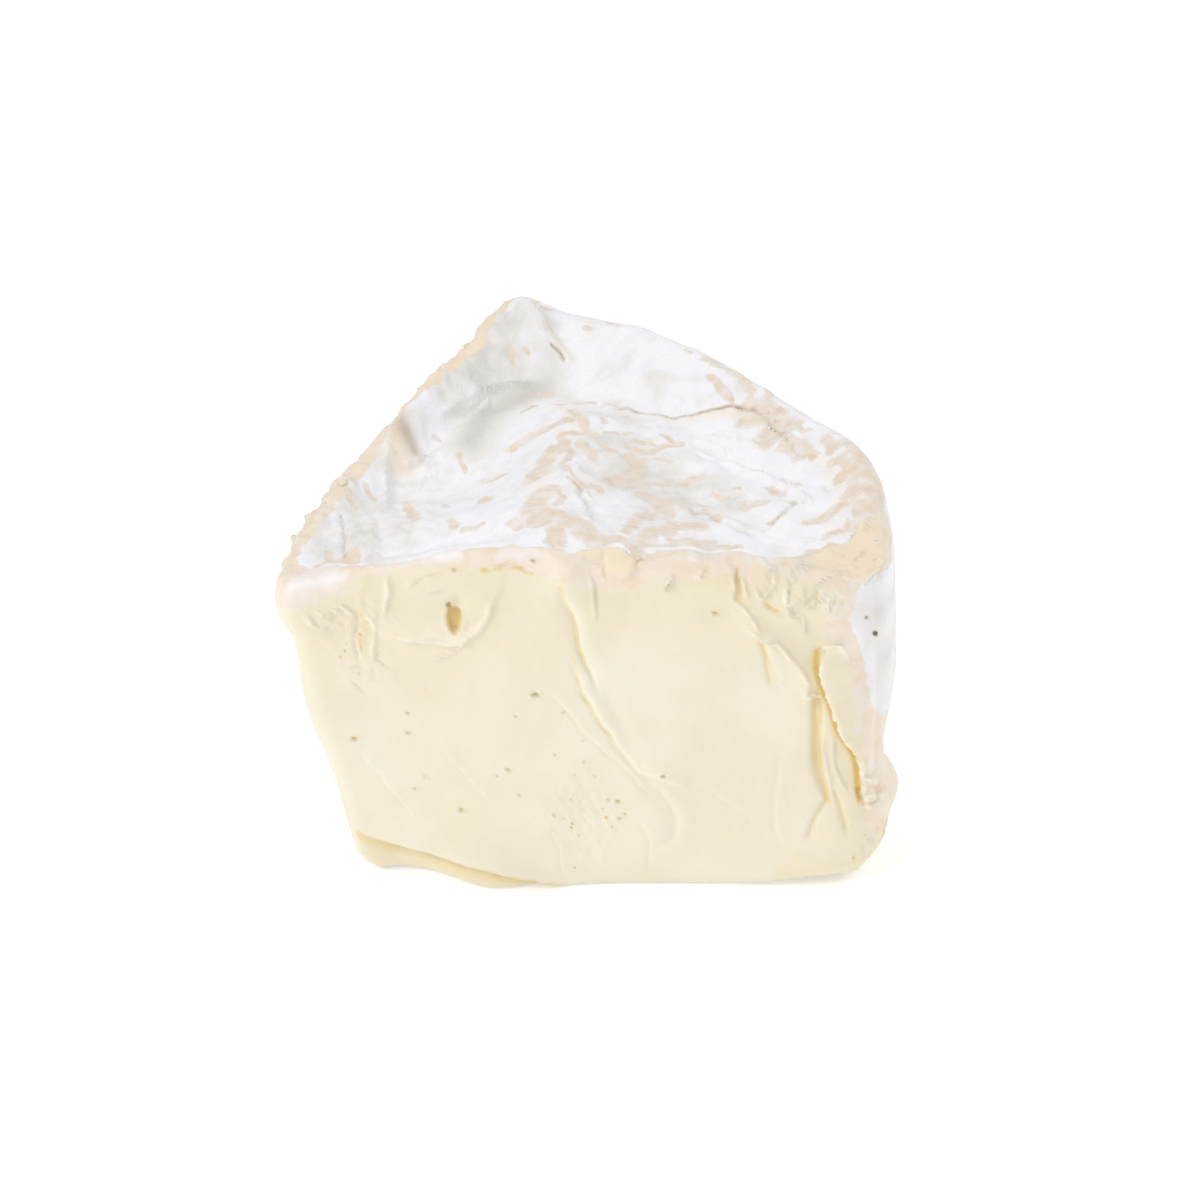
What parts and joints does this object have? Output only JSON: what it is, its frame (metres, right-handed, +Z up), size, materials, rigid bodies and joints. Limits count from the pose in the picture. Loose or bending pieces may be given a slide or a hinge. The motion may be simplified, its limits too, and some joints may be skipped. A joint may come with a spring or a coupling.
{
  "type": "soft cheese wedge",
  "caption": "Cut wedge of a small soft-ripened cheese with a white bloomy rind: smooth cream cut face, dimpled top pinched to a peak at the back, torn rind at one corner",
  "frame": {"origin": "middle of the base, on the surface that the wedge rests on", "axes": "+X along the front cut, from the tip to the rind; +Y back, away from the front cut; +Z up"},
  "size_m": [0.0653, 0.0589, 0.042],
  "materials": {
    "paste": "ripe cream-coloured cheese paste, smooth and slightly moist, with faint knife marks and small gas holes",
    "rind": "dry velvety white mould bloom, rubbed through to beige and tan in patches and along the cut edges"
  },
  "bodies": {
    "root": {"cheese_wedge": "paste"}
  },
  "joints": []
}
